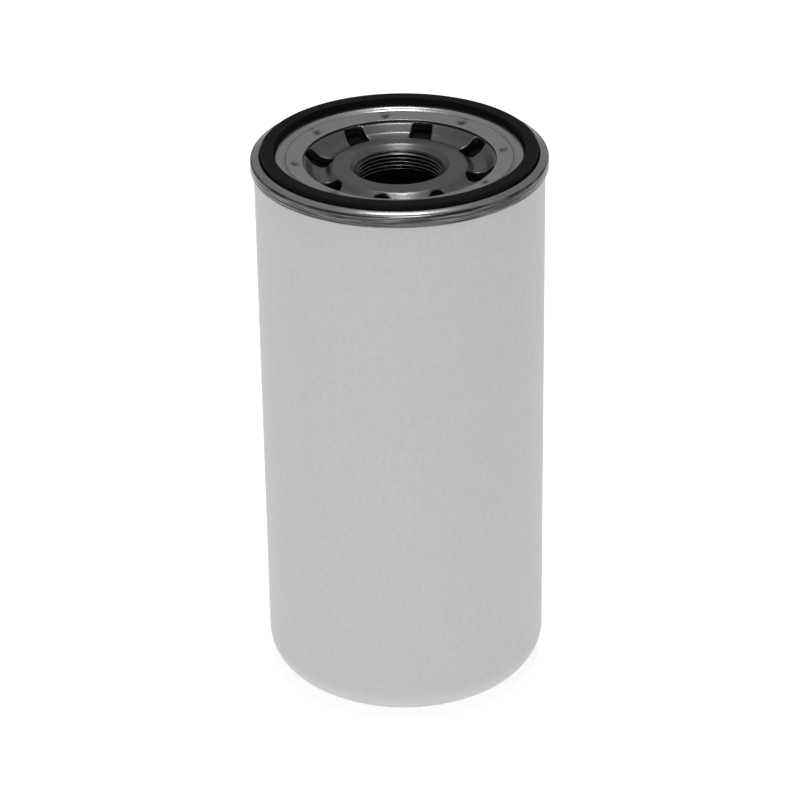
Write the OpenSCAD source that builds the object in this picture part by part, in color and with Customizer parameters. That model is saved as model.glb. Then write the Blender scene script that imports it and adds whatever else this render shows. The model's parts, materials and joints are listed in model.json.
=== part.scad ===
// Spin-on oil filter: rolled steel can, threaded base plate and a sprung, pleated element.
// The filter stands on the closed end of its can. Z is up and the origin is at the centre of the foot.
// Heights near the open end are measured down from the top of the mounting gasket, so they are negative.

/* [Can] */
// Overall height, from the foot to the top of the mounting gasket
height = 232.8; // [150:0.1:330]
// Outside radius of the can wall
can_r = 57.82; // [57.75:0.01:57.84]
// Thickness of the can's sheet
can_t = 0.5; // [0.4:0.02:0.5]
// Outside radius of the bend between wall and foot
foot_bend_r = 14.25; // [8:0.25:18]
// Radius of the raised centre panel in the foot
foot_panel_r = 34; // [30:0.5:38]
// Height of the raised centre panel
foot_panel_h = 2; // [1:0.1:3]

/* [Seaming lid] */
// Radius of the lid's round opening
lid_hole_r = 38.55; // [38.5:0.05:40]
// Thickness of the lid's sheet
lid_t = 0.75; // [0.6:0.01:0.76]
// Outside radius of the rolled seam
seam_r = 59.2; // [59.2:0.02:59.5]
// Number of projection welds that hold the lid to the base plate
weld_count = 8; // [4:1:16]
// Radius of the circle of welds
weld_circle_r = 41.7; // [41.2:0.1:43]

/* [Base plate] */
// Thread minor radius, 1 3/8-16 UN
bore_r = 16.6; // [16:0.05:17]
// Length of the threaded collar below the funnel
collar_l = 7.6; // [6:0.1:7.6]
// Number of oil inlet slots
slot_count = 8; // [4:1:9]
// Half the width of a slot at its inner end
slot_half_w = 4.6; // [3:0.1:4.7]

/* [Mounting gasket] */
// Inside radius of the gasket
gasket_in_r = 49.95; // [49.92:0.01:50.4]
// Outside radius of the gasket
gasket_out_r = 55; // [53:0.1:55.15]
// Height of the gasket
gasket_h = 7.5; // [7.4:0.02:7.5]

/* [Element] */
// Number of pleats in the paper
pleat_count = 56; // [40:2:60]
// Radius of the outer pleat folds
media_out_r = 50.5; // [46:0.1:50.5]
// Thickness of the paper
paper_t = 0.7; // [0.4:0.05:0.8]
// Rows of holes in the centre tube
tube_rows = 11; // [4:1:14]
// Radius of a hole in the centre tube
tube_hole_r = 2.6; // [1.5:0.1:3.2]
// Spacing beads along the pleats
bead_count = 6; // [2:1:10]

/* [Valves and springs] */
// Wire radius of the spring under the element
element_wire_r = 1.4; // [1:0.1:1.5]
// Turns of the spring under the element
element_turns = 3.5; // [3:0.5:4]
// Wire radius of the bypass spring
bypass_wire_r = 0.65; // [0.4:0.05:0.8]
// Turns of the bypass spring
bypass_turns = 6; // [4:0.5:7]
// Radius of the hole that the bypass valve closes
bypass_hole_r = 8; // [6:0.1:9]

/* [Hidden] */
$fn = 96;

// Rolled seam: sheet thickness in the fold, and the height of the lid's floor under the gasket
seam_t = 0.4;
groove_z = -7.5;
// Lid slope: the flat round the opening rises this much for each millimetre outwards
lid_slope = 0.169;
lid_edge_z = -4.86;
plate_t = 3;
// Room left between the lid's underside and the plate
plate_gap = 0.03;
plate_r = 48.6;
funnel_z = -9.8;
collar_out_r = 20.6;
collar_in_step_r = 17.75;
collar_end_z = funnel_z - collar_l;
// Slots run outwards from the round inner end to just under the lid's edge
slot_inner_r = 31.8;
slot_end_r = 38.4;
slot_end_half_w = 4.2;
slot_corner_r = 2;
// Element: heights of its caps, potting and paper
sheet_t = 0.7;
cap_r = 52;
cap_rim_h = 6;
potting_t = 3;
bottom_cap_z = 22;
top_cap_z = height - 23.8;
media_z0 = bottom_cap_z + sheet_t + potting_t;
media_z1 = top_cap_z - potting_t;
tube_r = 23.4;
media_in_r = tube_r + 0.3;
fold_out_half_w = 1.2;
fold_in_half_w = 0.65;
// Bypass valve: the seat's crown, the cage's lid and the poppet
crown_z = 30;
crown_r = 13.55;
cage_top_z = 50;
stem_r = 3;
poppet_z = crown_z + 1.55;
// Spring under the element
spring_floor_z = foot_panel_h + can_t + sheet_t;
element_coil_r = 19.3;
bypass_coil_r = 6.2;

// Points along an arc, from angle a0 to angle a1 in degrees
function arc(c, r, a0, a1, steps = 6) =
    [for (i = [0:steps]) let (a = a0 + (a1 - a0) * i / steps) c + r * [cos(a), sin(a)]];

function unit(v) = v / norm(v);
function left_of(v) = [-v.y, v.x];
// Sideways step at point i that keeps both neighbouring edges at distance 1
function mitre(path, i) =
    let (last = len(path) - 1,
        before = left_of(unit(path[max(i, 1)] - path[max(i, 1) - 1])),
        after = left_of(unit(path[min(i, last - 1) + 1] - path[min(i, last - 1)])))
    (before + after) / (1 + before * after);
// Outline of a sheet whose left-hand face follows the path
function sheet(path, t) =
    concat(path, [for (i = [len(path) - 1:-1:0]) path[i] - t * mitre(path, i)]);

module turned(outline) {
    rotate_extrude() polygon(outline);
}

module ring(r0, r1, z0, z1) {
    rotate_extrude() translate([r0, z0]) square([r1 - r0, z1 - z0]);
}

// Copies of the children, evenly spaced round the Z axis
module round_z(count, first = 0) {
    for (i = [0:count - 1]) rotate([0, 0, first + 360 * i / count]) children();
}

// Coil spring standing on z = 0, its end turns closed up flat
module coil(mean_r, wire_r, length, turns, ring_steps = 24, sides = 8) {
    steps = round(turns * ring_steps);
    rise = length - 2 * wire_r;
    // The end turns rise slowly, the middle turns share the rest
    function lift(u) = u < 0.14 ? 0.25 * u : u > 0.86 ? 1 - 0.25 * (1 - u) : 0.035 + (u - 0.14) * 0.93 / 0.72;
    points = [for (i = [0:steps]) let (u = i / steps, a = 360 * turns * u)
        for (j = [0:sides - 1]) let (b = 360 * j / sides, r = mean_r + wire_r * cos(b))
            [r * cos(a), r * sin(a), wire_r + rise * lift(u) + wire_r * sin(b)]];
    skin = [for (i = [0:steps - 1]) for (j = [0:sides - 1]) let (k = (j + 1) % sides)
        [i * sides + j, i * sides + k, (i + 1) * sides + k, (i + 1) * sides + j]];
    start_face = [for (j = [sides - 1:-1:0]) j];
    end_face = [for (j = [0:sides - 1]) steps * sides + j];
    polyhedron(points, concat(skin, [start_face], [end_face]), convexity = 10);
}

// ---- Housing ----

module can() {
    hook_c = [58.05, height - 4.7];
    hook_r = hook_c.x - can_r;
    outer = concat(
        [[0, foot_panel_h]],
        arc([foot_panel_r, foot_panel_h - 1], 1, 90, 30, 3),
        arc([foot_panel_r + 3, 1], 1, 210, 270, 3),
        arc([can_r - foot_bend_r, foot_bend_r], foot_bend_r, -90, 0, 12),
        arc(hook_c, hook_r, 180, 0, 8),
        [[hook_c.x + hook_r, height - 6.6]]);
    color([0.74, 0.74, 0.74]) turned(sheet(outer, -can_t));
}

module seaming_lid() {
    crease = [45.4, lid_edge_z + lid_slope * (45.4 - 38.55)];
    inner_lip = [lid_hole_r, lid_edge_z + lid_slope * (lid_hole_r - 38.55)];
    top = concat(
        [inner_lip, crease, [46.2, crease.y + 0.3]],
        arc([47.7, -3.85], 1.1, 120, 90, 3),
        arc([49.1, -3.65], 0.8, 75, 0, 4),
        arc([50.4, groove_z + 0.5], 0.5, 180, 270, 4),
        arc([54.7, groove_z + 0.5], 0.5, 270, 360, 4),
        arc([56.05, -2.9], 0.85, 180, 80, 6));
    seam = concat(
        [[56.05, -2.05], [57, -2.45], [58, -3.05]],
        arc([seam_r - 1.1, -4.2], 1.1, 70, 0, 5),
        arc([seam_r - 0.67, -7.23], 0.67, 0, -180, 8),
        [[seam_r - 1.34, -5]]);
    color([0.66, 0.66, 0.66]) translate([0, 0, height]) difference() {
        union() {
            turned(sheet(top, lid_t));
            turned(sheet(seam, seam_t));
        }
        round_z(weld_count, 22.5) translate([weld_circle_r, 0, -2.75]) sphere(r = 1.9);
    }
}

module seam_compound() {
    color([0.2, 0.2, 0.22]) ring(56, can_r - can_t - 0.05, height - 8.2, height - 3.6);
}

// Plan outline of one inlet slot, on the +X axis
function slot_outline() = concat(
    arc([slot_inner_r, 0], slot_half_w, 270, 90, 12),
    arc([slot_end_r - slot_corner_r, slot_end_half_w - slot_corner_r], slot_corner_r, 90, 0, 5),
    arc([slot_end_r - slot_corner_r, slot_corner_r - slot_end_half_w], slot_corner_r, 0, -90, 5));

module base_plate() {
    flange_z = lid_edge_z - lid_t - plate_gap;
    rim_z = flange_z + lid_slope * (plate_r - 38.5);
    top = concat(
        [[bore_r, funnel_z - 0.3]],
        arc([20.9, -9.2], 2.2, 132, 84, 4),
        arc([25.2, -9.45], 2, 84, 54, 3),
        arc([30.3, -7.3], 2.6, 236, 262, 3),
        arc([31.4, -7.9], 2, 270, 290, 2),
        arc([33.38, -7.18], 2, 290, 316, 3),
        arc([38.1, -7.05], 1.3, 136, 100, 3),
        [[38.5, flange_z], [plate_r, rim_z]]);
    underside = concat(
        [[plate_r, rim_z - plate_t], [39.5, flange_z - plate_t + 0.17]],
        [[38.9, -8.8], [37, -10.6], [34.9, -12.2], [32.6, -12.75], [29, -12.75], [26, -10.6]],
        arc([collar_out_r + 1.2, -11.6], 1.2, 90, 180, 5),
        // The collar's end steps in, so that it fits inside the element's grommet
        [[collar_out_r, collar_end_z + 1.4], [collar_out_r - 0.6, collar_end_z + 0.8]],
        [[collar_in_step_r, collar_end_z + 0.8], [collar_in_step_r, collar_end_z], [bore_r, collar_end_z]]);
    color([0.36, 0.36, 0.37]) translate([0, 0, height]) difference() {
        turned(concat(top, underside));
        round_z(slot_count) translate([0, 0, -14]) linear_extrude(11) polygon(slot_outline());
    }
}

module mounting_gasket() {
    outline = concat(
        arc([gasket_in_r + 0.5, -0.5], 0.5, 180, 90, 4),
        arc([gasket_out_r - 0.5, -0.5], 0.5, 90, 0, 4),
        arc([gasket_out_r - 0.6, 0.6 - gasket_h], 0.6, 0, -90, 4),
        arc([gasket_in_r + 0.6, 0.6 - gasket_h], 0.6, -90, -180, 4));
    color([0.07, 0.07, 0.07]) translate([0, 0, height]) turned(outline);
}

module spring_seat() {
    path = concat([[16.2, spring_floor_z + 4]],
        arc([17.1, spring_floor_z + 0.9], 0.9, 180, 270, 4),
        [[24, spring_floor_z]]);
    color([0.6, 0.6, 0.6]) turned(sheet([for (i = [len(path) - 1:-1:0]) path[i]], -sheet_t));
}

module element_spring() {
    free = bottom_cap_z - spring_floor_z;
    color([0.55, 0.55, 0.55]) translate([0, 0, spring_floor_z])
        coil(element_coil_r, element_wire_r, free, element_turns);
}

// ---- Anti-drainback valve ----

module drainback_valve() {
    skirt = concat(
        [[23.6, -13.15], [33.8, -13.15], [40.4, -9.6]],
        arc([42.6, -9.2], 1, 120, -30, 6),
        [[41.4, -10.6], [34.3, -14.35], [24.4, -14.35]],
        arc([23.7, -14.35], 0.35, 0, -90, 3),
        [[21.1, -14.7], [20.9, -14.5], [20.9, -11.9], [21.2, -11.6], [22.8, -11.6]]);
    color([0.1, 0.1, 0.1]) translate([0, 0, height]) turned(skirt);
}

// ---- Element ----

module element_grommet() {
    outline = [[18, -17.2], [18.3, -16.9], [22.4, -16.9], [23, -17.4], [23, -19], [20.6, -19],
        [20.6, -19.7], [22.4, -19.7], [22.4, -21], [21.9, -21.5], [18.3, -21.5], [18, -21.2]];
    color([0.12, 0.12, 0.12]) translate([0, 0, height]) turned(outline);
}

module top_end_cap() {
    disc_z = top_cap_z + sheet_t;
    neck_z = height - 19;
    path = concat([[20.6, neck_z]],
        arc([24.6, neck_z - 0.9], 0.9, 90, 0, 4),
        arc([26.2, disc_z + 0.7], 0.7, 180, 270, 4),
        arc([cap_r - 1, disc_z - 1], 1, 90, 0, 4),
        [[cap_r, disc_z - cap_rim_h]]);
    color([0.62, 0.6, 0.5]) turned(sheet(path, sheet_t));
}

module bottom_end_cap() {
    path = concat([[crown_r + 0.05 + sheet_t, bottom_cap_z + 5]],
        [[crown_r + 0.05 + sheet_t, bottom_cap_z + sheet_t + 0.3]],
        [[crown_r + 0.35 + sheet_t, bottom_cap_z + sheet_t]],
        arc([cap_r - 1, bottom_cap_z + 1], 1 - sheet_t, 270, 360, 4),
        [[cap_r - sheet_t, bottom_cap_z + cap_rim_h]]);
    color([0.62, 0.6, 0.5]) turned(sheet(path, sheet_t));
}

module potting(z0) {
    color([0.5, 0.2, 0.16]) ring(tube_r + 0.02, cap_r - sheet_t - 0.7, z0, z0 + potting_t);
}

module top_potting() {
    potting(media_z1);
}

module bottom_potting() {
    potting(bottom_cap_z + sheet_t);
}

module center_tube() {
    length = top_cap_z - bottom_cap_z - sheet_t;
    spacing = (length - 16) / tube_rows;
    color([0.64, 0.64, 0.62]) translate([0, 0, bottom_cap_z + sheet_t]) difference() {
        ring(tube_r - 0.8, tube_r, 0, length);
        // Each drill goes right through, so one makes two holes
        for (row = [0:tube_rows - 1]) translate([0, 0, 8 + spacing * (row + 0.5)])
            for (side = [0:4]) rotate([0, 0, 36 * side + (row % 2) * 18])
                rotate([0, 90, 0]) cylinder(r = tube_hole_r, h = 2 * tube_r + 4, center = true, $fn = 16);
    }
}

function at_angle(r, a) = [r * cos(a), r * sin(a)];
// One fold line: points either side of angle a, half_w apart, at radius r
function fold(r, half_w, a) = let (d = asin(half_w / r)) [at_angle(r, a - d), at_angle(r, a + d)];

// Closed star outline: outer folds at out_r and inner folds at in_r
function star(out_r, out_half_w, in_r, in_half_w) = [for (k = [0:pleat_count - 1])
    for (p = concat(fold(out_r, out_half_w, 360 * k / pleat_count),
        fold(in_r, in_half_w, 360 * (k + 0.5) / pleat_count))) p];

module filter_media() {
    t = paper_t;
    color([0.83, 0.72, 0.45]) translate([0, 0, media_z0]) linear_extrude(media_z1 - media_z0) difference() {
        polygon(star(media_out_r, fold_out_half_w + t / 2, media_in_r + t, fold_in_half_w - t / 2));
        polygon(star(media_out_r - t, fold_out_half_w - t / 2, media_in_r, fold_in_half_w + t / 2));
    }
}

// U-shaped steel strip over the fold where the two ends of the paper meet
module media_clip() {
    half_w = fold_out_half_w + paper_t / 2 + 0.1;
    wall = 0.45;
    color([0.7, 0.7, 0.7]) translate([media_out_r - 6, 0, media_z0 + 0.2])
        linear_extrude(media_z1 - media_z0 - 0.4) difference() {
            translate([0, -half_w - wall]) square([6.05 + wall, 2 * (half_w + wall)]);
            translate([-1, -half_w]) square([7.05, 2 * half_w]);
        }
}

module pleat_beads() {
    step = (media_z1 - media_z0) / (bead_count + 1);
    bead_r = 0.6;
    color([0.85, 0.82, 0.7]) for (i = [1:bead_count]) difference() {
        translate([0, 0, media_z0 + step * i]) rotate_extrude()
            translate([media_out_r + bead_r + 0.02, 0]) circle(r = bead_r, $fn = 16);
        // Gap for the clip on the seam of the paper
        translate([media_out_r - 5, -3, media_z0]) cube([10, 6, media_z1 - media_z0]);
    }
}

// ---- Bypass valve ----

module bypass_seat() {
    path = concat([[bypass_hole_r, crown_z]],
        arc([crown_r - 1, crown_z - 1], 1, 90, 0, 4),
        arc([crown_r + 0.3, bottom_cap_z + 0.3], 0.3, 180, 270, 3),
        [[16.6, bottom_cap_z]]);
    color([0.66, 0.62, 0.5]) turned(sheet(path, sheet_t));
}

module bypass_cage() {
    in_r = crown_r + 0.05;
    path = concat([[stem_r + 0.4, cage_top_z]],
        arc([in_r + sheet_t - 1.5, cage_top_z - 1.5], 1.5, 90, 0, 5),
        [[in_r + sheet_t, bottom_cap_z + 5.1]]);
    color([0.66, 0.62, 0.5]) difference() {
        turned(sheet(path, sheet_t));
        round_z(4, 45) translate([in_r - 3, -4.5, crown_z + 3]) cube([6, 9, 12]);
    }
}

module bypass_poppet() {
    rim = 11.9;
    button_r = 5;
    outline = [[0, crown_z - 1.2], [button_r - 0.6, crown_z - 1.2], [button_r, crown_z - 0.6],
        [button_r, crown_z + 0.05], [stem_r, crown_z + 0.05], [stem_r, poppet_z], [rim, poppet_z],
        [rim, poppet_z + 0.9], [stem_r, poppet_z + 0.9], [stem_r, cage_top_z + 2], [stem_r - 0.5, cage_top_z + 2.5],
        [0, cage_top_z + 2.5]];
    color([0.72, 0.72, 0.72]) turned(outline);
}

module bypass_seal() {
    color([0.08, 0.08, 0.08]) ring(stem_r + 0.02, 11.5, crown_z + 0.06, poppet_z - 0.01);
}

module bypass_spring() {
    floor_z = poppet_z + 0.9;
    color([0.6, 0.6, 0.6]) translate([0, 0, floor_z])
        coil(bypass_coil_r, bypass_wire_r, cage_top_z - sheet_t - floor_z, bypass_turns, 16, 6);
}

can();
seaming_lid();
seam_compound();
base_plate();
mounting_gasket();
drainback_valve();
element_grommet();
top_end_cap();
bottom_end_cap();
top_potting();
bottom_potting();
center_tube();
filter_media();
media_clip();
pleat_beads();
bypass_seat();
bypass_cage();
bypass_poppet();
bypass_seal();
bypass_spring();
element_spring();
spring_seat();
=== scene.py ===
"""Spin-on oil filter: detailed surfaces and finishes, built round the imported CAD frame."""

import json
import math

import bmesh
import bpy
import numpy as np
from bpy.props import FloatProperty, FloatVectorProperty, IntProperty, PointerProperty
from mathutils import Matrix, Vector


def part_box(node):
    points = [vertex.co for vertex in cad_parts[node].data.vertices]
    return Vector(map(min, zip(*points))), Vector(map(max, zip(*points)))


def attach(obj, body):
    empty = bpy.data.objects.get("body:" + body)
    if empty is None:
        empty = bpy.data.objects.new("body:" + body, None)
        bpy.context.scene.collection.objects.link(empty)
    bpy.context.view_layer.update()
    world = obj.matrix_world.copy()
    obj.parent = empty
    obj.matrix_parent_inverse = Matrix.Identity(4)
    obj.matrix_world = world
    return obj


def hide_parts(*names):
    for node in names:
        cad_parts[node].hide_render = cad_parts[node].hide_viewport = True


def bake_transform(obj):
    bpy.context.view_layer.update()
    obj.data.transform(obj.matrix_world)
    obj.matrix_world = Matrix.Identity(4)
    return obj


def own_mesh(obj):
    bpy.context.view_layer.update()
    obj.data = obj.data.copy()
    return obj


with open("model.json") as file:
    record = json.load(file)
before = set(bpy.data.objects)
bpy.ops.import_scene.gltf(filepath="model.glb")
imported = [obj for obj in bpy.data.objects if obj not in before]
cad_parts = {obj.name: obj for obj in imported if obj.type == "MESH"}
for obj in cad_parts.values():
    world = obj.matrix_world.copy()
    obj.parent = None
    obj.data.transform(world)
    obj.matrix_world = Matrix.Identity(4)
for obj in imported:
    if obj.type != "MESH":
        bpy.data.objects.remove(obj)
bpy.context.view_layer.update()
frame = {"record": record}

bl_info = {
    "name": "Oil filter",
    "version": (1, 0, 0),
    "blender": (4, 5, 0),
    "location": "3D View > Sidebar > Oil filter",
    "description": "Builds the visible pieces of a spin-on oil filter round its CAD frame",
    "category": "Object",
}

MM = 0.001
TAU = 2 * np.pi


# ---- Places read from the frame, in millimetres ----


def low_mm(node):
    return np.array(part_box(node)[0]) / MM


def high_mm(node):
    return np.array(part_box(node)[1]) / MM


def heights(node):
    return low_mm(node)[2], high_mm(node)[2]


def outer_r(node):
    """Radius of a turned node: half of its wider side."""
    return float(max(high_mm(node)[:2]))


def mount(name):
    return next(m for m in frame["record"]["mounts"] if m["name"] == name)


TOP = float(high_mm("mounting_gasket")[2])
BORE_R = mount("stud_thread")["dims"]["r_mm"]
COLLAR_END = float(low_mm("base_plate")[2]) - TOP
CAN_R = 57.8
SEAM_R = outer_r("seaming_lid")
WELD_R = 41.7
CAN_T = 0.5
LID_T = 0.75
SHEET_T = 0.7
# Slots and welds alternate round the plate, 45 degrees apart
SLOTS = 8
SECTOR = TAU / SLOTS
# Grid steps along half a sector's inner and outer border
BORDER_STEPS = 18
# A piece's faces that meet at a wider angle than this are shaded with a sharp edge between them
SHARP_ANGLE = math.radians(38)


# ---- Sizes and colours that a user would change ----


def mm_setting(label, about, value, low, high):
    return FloatProperty(name=label, description=about + ", in millimetres", default=value, min=low, max=high)


def colour_setting(label, about, *value):
    return FloatVectorProperty(name=label, description=about, subtype="COLOR", size=3, default=value)


def angle_setting(label, about, radians):
    return FloatProperty(name=label, description=about, subtype="ANGLE", default=radians)


def metre_setting(label, about, value, low):
    return FloatProperty(name=label, description=about, unit="LENGTH", default=value, min=low)


def count_setting(label, about, value, low, high):
    return IntProperty(name=label, description=about, default=value, min=low, max=high)


class FilterSizes(bpy.types.PropertyGroup):
    thread_pitch: mm_setting("Thread pitch", "Rise of one turn", 25.4 / 16, 0.8, 3)
    thread_depth: mm_setting("Thread depth", "From crest to root", 0.86, 0.2, 1.2)
    slot_half_width: mm_setting("Slot half width", "Half the width of an inlet slot", 4.6, 2, 4.7)
    weld_depth: mm_setting("Weld mark depth", "Depth of a projection weld mark", 0.34, 0, 0.5)
    segments: count_setting("Segments", "Facets round a large turned piece", 432, 96, 720)
    pleats: count_setting("Pleats", "Folds in the filter paper", 56, 20, 60)


class FilterColours(bpy.types.PropertyGroup):
    can: colour_setting("Can paint", "Light grey paint", 0.54, 0.54, 0.54)
    lid: colour_setting("Lid steel", "Bright satin sheet steel", 0.37, 0.37, 0.37)
    plate: colour_setting("Plate steel", "Dull oiled steel", 0.15, 0.15, 0.153)
    rubber: colour_setting("Rubber", "Black nitrile", 0.005, 0.005, 0.005)
    paper: colour_setting("Paper", "Resin-treated filter paper", 0.62, 0.43, 0.17)
    caps: colour_setting("End caps", "Yellow-passivated steel", 0.62, 0.52, 0.3)


class StageSettings(bpy.types.PropertyGroup):
    azimuth: angle_setting("Camera azimuth", "Angle round the filter", math.radians(14.9))
    distance: metre_setting("Camera distance", "From the filter's axis", 1.1878, 0.3)
    height: metre_setting("Camera height", "Above the floor", 0.75495, 0.05)
    pitch: angle_setting("Camera pitch", "Downward tilt", math.radians(28.15))
    yaw: angle_setting("Camera yaw", "Turn away from the axis", 0.001)
    roll: angle_setting("Camera roll", "Turn about the line of sight", math.radians(-0.83))
    lens: FloatProperty(name="Lens", description="Focal length in millimetres", default=147.33, min=20)


def sizes():
    return bpy.context.scene.filter_sizes


def colours():
    return bpy.context.scene.filter_colours


# ---- Outlines in the (radius, height) plane ----


def arc(centre, r, a0, a1, steps=8):
    """Points on a circle round centre, from angle a0 to a1 in degrees."""
    a = np.radians(np.linspace(a0, a1, steps + 1))
    return np.array(centre) + r * np.stack([np.cos(a), np.sin(a)], 1)


def path(*parts):
    """Points and arcs joined end to end, repeats dropped."""
    p = np.concatenate([np.atleast_2d(np.array(q, float)) for q in parts])
    keep = np.r_[True, np.hypot(*np.diff(p, axis=0).T) > 1e-6]
    return p[keep]


def spaced(p, step):
    """The same path with points added so that none are further apart than step."""
    counts = np.maximum(np.ceil(np.hypot(*np.diff(p, axis=0).T) / step).astype(int), 1)
    t = np.concatenate([i + np.arange(n) / n for i, n in enumerate(counts)] + [[len(p) - 1]])
    at = np.arange(len(p))
    return np.stack([np.interp(t, at, p[:, k]) for k in (0, 1)], 1)


def sheet(p, t):
    """Closed outline of a sheet whose left-hand face follows p; each corner is mitred. t is the thickness, or a
    column of them, one for each point."""
    d = np.diff(p, axis=0)
    d = d / np.hypot(*d.T)[:, None]
    left = np.stack([-d[:, 1], d[:, 0]], 1)
    before, after = np.r_[left[:1], left], np.r_[left, left[-1:]]
    step = (before + after) / (1 + (before * after).sum(1))[:, None]
    return np.concatenate([p, (p - t * step)[::-1]])


def anticlockwise(p):
    """The same closed outline, reversed if its signed area is negative."""
    x, y = p.T
    area = (x * np.roll(y, -1) - y * np.roll(x, -1)).sum()
    return p if area > 0 else p[::-1]


# ---- Surfaces and meshes ----


def grid_faces(rows, columns, wrap_rows, wrap_columns, first):
    """Four corner numbers of every cell in a rows by columns grid of points."""
    i = np.arange(rows if wrap_rows else rows - 1)[:, None]
    j = np.arange(columns if wrap_columns else columns - 1)[None, :]
    i1, j1 = (i + 1) % rows, (j + 1) % columns
    corners = [i * columns + j, i1 * columns + j, i1 * columns + j1, i * columns + j1]
    return np.stack(corners, -1).reshape(-1, 4) + first


def cylindrical(r, a, z):
    """Points at radius r, angle a and height z: x = r cos a, y = r sin a."""
    return np.stack([r * np.cos(a), r * np.sin(a), z], -1)


def spin(outline, segments, relief=None):
    """Grid of a closed outline turned round Z. relief(r, z, a) adds to r and z."""
    a = np.arange(segments)[:, None] * TAU / segments
    r = np.broadcast_to(outline[:, 0], (segments, len(outline)))
    z = np.broadcast_to(outline[:, 1], r.shape)
    if relief is not None:
        dr, dz = relief(r, z, a)
        r, z = r + dr, z + dz
    return cylindrical(r, a, z), True, True


def turned(p, columns):
    """Grid of an open path p turned round Z."""
    a = np.arange(columns)[:, None] * TAU / columns
    return cylindrical(p[:, 0], a, p[:, 1] + 0 * a), True, False


# A point whose normals turn through one radian in this many metres has an edge measure of 1
EDGE_SCALE = 0.0004


def edge_measure(mesh):
    """Stores how sharply each point sticks out: the mean, over its edges, of the normals' spread along the edge."""
    count = len(mesh.vertices)
    co, no = np.empty(count * 3), np.empty(count * 3)
    mesh.vertices.foreach_get("co", co)
    mesh.vertex_normals.foreach_get("vector", no)
    co, no = co.reshape(-1, 3), no.reshape(-1, 3)
    ends = np.empty(len(mesh.edges) * 2, int)
    mesh.edges.foreach_get("vertices", ends)
    a, b = ends.reshape(-1, 2).T
    d = co[b] - co[a]
    bend = ((no[b] - no[a]) * d).sum(1) / np.maximum((d * d).sum(1), 1e-12)
    total, share = np.zeros(count), np.zeros(count)
    for end in (a, b):
        np.add.at(total, end, bend)
        np.add.at(share, end, 1)
    value = np.clip(total / np.maximum(share, 1) * EDGE_SCALE, -1, 1)
    mesh.attributes.new("edge", "FLOAT", "POINT").data.foreach_set("value", value.astype(np.float32))


def burn_and_painted_shade_measure(mesh, burn_and_painted_shade):
    """Stores how dark each point's finish is painted, from 0 to 1, by the given function of its place (r, z, a): burnt
    stains, and painted shade.
    """
    co = np.empty(len(mesh.vertices) * 3)
    mesh.vertices.foreach_get("co", co)
    x, y, z = co.reshape(-1, 3).T / MM
    value = np.clip(burn_and_painted_shade(np.hypot(x, y), z - TOP, np.arctan2(y, x)), 0, 1)
    mesh.attributes.new("burn_and_painted_shade", "FLOAT", "POINT").data.foreach_set("value", value.astype(np.float32))


def make_piece(name, patches, body, nodes, finish, closed=True, burn_and_painted_shade=None):
    """One mesh from grids of points in millimetres, welded, faced outwards and set in its place in the frame."""
    points, faces, first = [], [], 0
    for grid, wrap_rows, wrap_columns in patches:
        rows, columns = grid.shape[:2]
        points.append(grid.reshape(-1, 3))
        faces.append(grid_faces(rows, columns, wrap_rows, wrap_columns, first))
        first += rows * columns
    points, faces = np.concatenate(points) * MM, np.concatenate(faces)
    mesh = bpy.data.meshes.new(name)
    mesh.vertices.add(len(points))
    mesh.vertices.foreach_set("co", points.ravel())
    mesh.loops.add(faces.size)
    mesh.loops.foreach_set("vertex_index", faces.ravel())
    mesh.polygons.add(len(faces))
    mesh.polygons.foreach_set("loop_start", np.arange(0, faces.size, 4))
    mesh.update(calc_edges=True)
    work = bmesh.new()
    work.from_mesh(mesh)
    bmesh.ops.remove_doubles(work, verts=work.verts, dist=1e-6)
    bmesh.ops.delete(work, geom=[e for e in work.edges if e.is_wire], context="EDGES")
    bmesh.ops.recalc_face_normals(work, faces=work.faces)
    loose = [e for e in work.edges if not e.is_manifold]
    if closed and loose:
        raise RuntimeError(f"{name} has {len(loose)} open edges")
    work.to_mesh(mesh)
    work.free()
    mesh.polygons.foreach_set("use_smooth", np.ones(len(mesh.polygons), bool))
    mesh.set_sharp_from_angle(angle=SHARP_ANGLE)
    edge_measure(mesh)
    # Optional darkening attribute: burnt stains, and painted shade in creases, grooves and under edges
    if burn_and_painted_shade is not None:
        burn_and_painted_shade_measure(mesh, burn_and_painted_shade)
    piece = bpy.data.objects.new(name, mesh)
    bpy.context.scene.collection.objects.link(piece)
    mesh.materials.append(bpy.data.materials[finish])
    if body is not None:
        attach(piece, body)
    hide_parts(*nodes)
    return piece


# ---- Shader nodes ----


def give(tree, socket, value):
    """Links value to socket if it is another node's output, and sets it otherwise."""
    if isinstance(value, bpy.types.NodeSocket):
        tree.links.new(value, socket)
    else:
        socket.default_value = value


def add(tree, kind, inputs=None, **settings):
    """A node with its settings, and its inputs given by name or number as values or as sockets to link."""
    made = tree.nodes.new(kind)
    for key, value in settings.items():
        setattr(made, key, value)
    for key, value in (inputs or {}).items():
        give(tree, made.inputs[key], value)
    return made


def feed(tree, node, **sources):
    """Links or sets a node's sockets, named with underscores for spaces."""
    for key, value in sources.items():
        give(tree, node.inputs[key.replace("_", " ")], value)


def own_place(tree):
    """Each point's place in its object's own coordinates."""
    return add(tree, "ShaderNodeTexCoord").outputs["Object"]


def noise(tree, where, **inputs):
    return add(tree, "ShaderNodeTexNoise", {"Vector": where, **inputs}).outputs[0]


def calc(tree, operation, *values, clamp=False):
    return add(tree, "ShaderNodeMath", dict(enumerate(values)), operation=operation, use_clamp=clamp).outputs[0]


def ramp(tree, value, low, high, to_low=0.0, to_high=1.0):
    """Smooth step of value from low..high to to_low..to_high."""
    inputs = {"Value": value, "From Min": low, "From Max": high, "To Min": to_low, "To Max": to_high}
    return add(tree, "ShaderNodeMapRange", inputs, interpolation_type="SMOOTHSTEP").outputs[0]


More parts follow.
